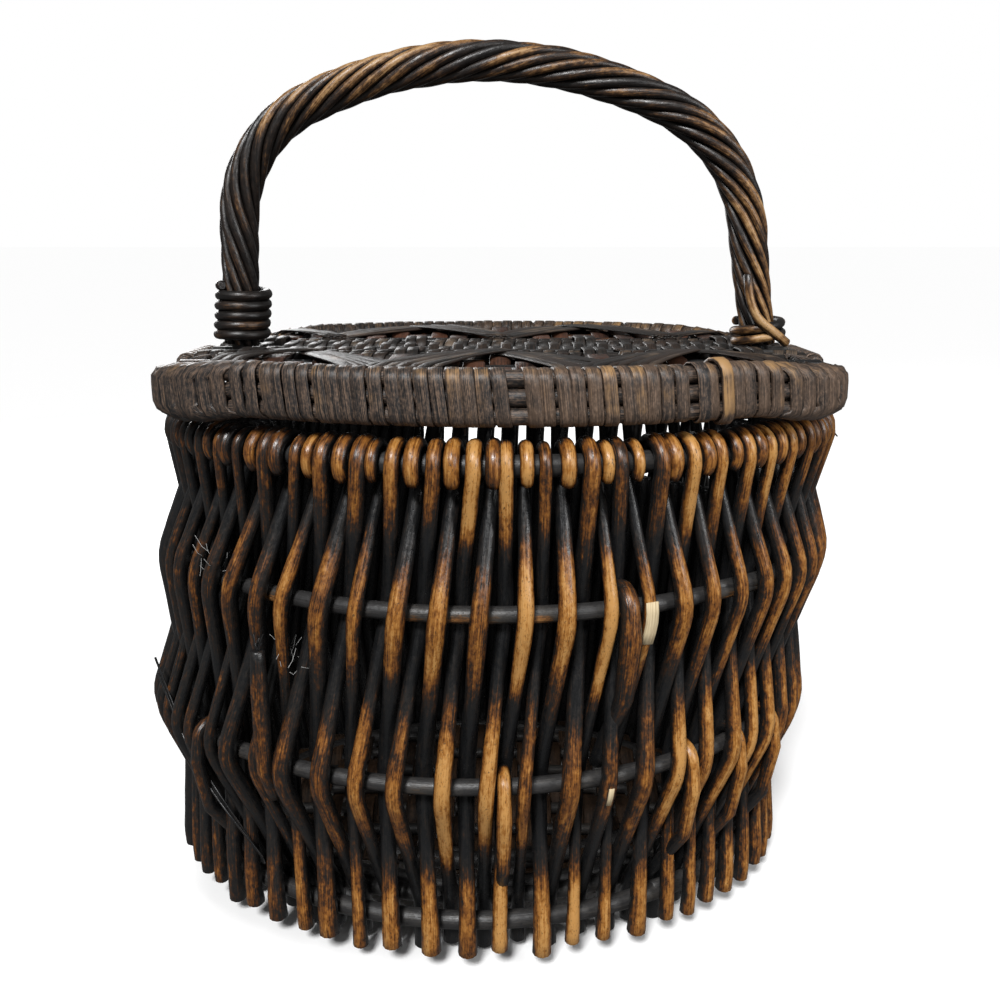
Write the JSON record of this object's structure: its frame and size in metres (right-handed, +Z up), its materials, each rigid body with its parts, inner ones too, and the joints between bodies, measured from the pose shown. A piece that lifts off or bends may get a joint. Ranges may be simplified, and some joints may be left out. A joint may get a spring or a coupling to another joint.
{
  "type": "wicker basket with two lid flaps",
  "caption": "Oval willow basket with upright woven stakes, two lid flaps hinged on a fixed middle bridge, and a fixed arched handle of twisted rods.",
  "frame": {"origin": "on the surface that the basket stands on, under the middle of its box", "axes": "+X to the basket's right seen from the front, +Y from the front to the back, +Z up"},
  "size_m": [0.3697, 0.2762, 0.4436],
  "materials": {
    "hoop_willow": "dark stained willow rod, satin, rubbed brown at the front",
    "stake_willow": "dark stained willow rod, semi-gloss, worn to amber where it stands out",
    "base_willow": "stained willow rod, satin",
    "base_splint": "flat stained splint, satin",
    "handle_willow": "dark stained twisted willow rods, semi-gloss, rubbed golden on top",
    "binding_willow": "dark stained willow rod, semi-gloss",
    "bridge_willow": "near-black stained willow and flat skein, satin",
    "border_skein": "flat grey-brown skein, dry satin",
    "lid_willow": "near-black stained willow and flat skein, satin",
    "lid_splint": "flat red-brown splint, satin",
    "lid_skein": "near-black flat skein, glossy"
  },
  "bodies": {
    "basket": {"rim_hoop": "hoop_willow", "upper_hoop": "hoop_willow", "lower_hoop": "hoop_willow", "base_hoop": "hoop_willow", "outer_stakes": "stake_willow", "inner_stakes": "stake_willow", "base_frame_hoop": "base_willow", "base_sticks": "base_willow", "base_splints": "base_splint", "handle_bow": "handle_willow", "handle_strands": "handle_willow", "left_foot_binding": "binding_willow", "right_foot_binding": "binding_willow", "bridge_front_rod": "bridge_willow", "bridge_rear_rod": "bridge_willow", "bridge_inner_rods": "bridge_willow", "bridge_splints": "bridge_willow", "bridge_left_end": "border_skein", "bridge_right_end": "border_skein"},
    "front_lid": {"front_lid_border": "border_skein", "front_lid_hinge_rod": "lid_willow", "front_lid_loops": "lid_willow", "front_lid_ribs": "lid_splint", "front_lid_splints": "lid_splint", "front_lid_skeins": "lid_skein"},
    "rear_lid": {"rear_lid_border": "border_skein", "rear_lid_hinge_rod": "lid_willow", "rear_lid_loops": "lid_willow", "rear_lid_ribs": "lid_splint", "rear_lid_splints": "lid_splint", "rear_lid_skeins": "lid_skein"}
  },
  "joints": [
    {"name": "front_lid_hinge", "type": "hinge", "parent": "basket", "child": "front_lid", "pos_m": [0.008, -0.026, 0.2855], "axis": [-1, 0, 0], "range_deg": [0, 90]},
    {"name": "rear_lid_hinge", "type": "hinge", "parent": "basket", "child": "rear_lid", "pos_m": [0.008, 0.026, 0.2855], "axis": [1, 0, 0], "range_deg": [0, 90]}
  ]
}
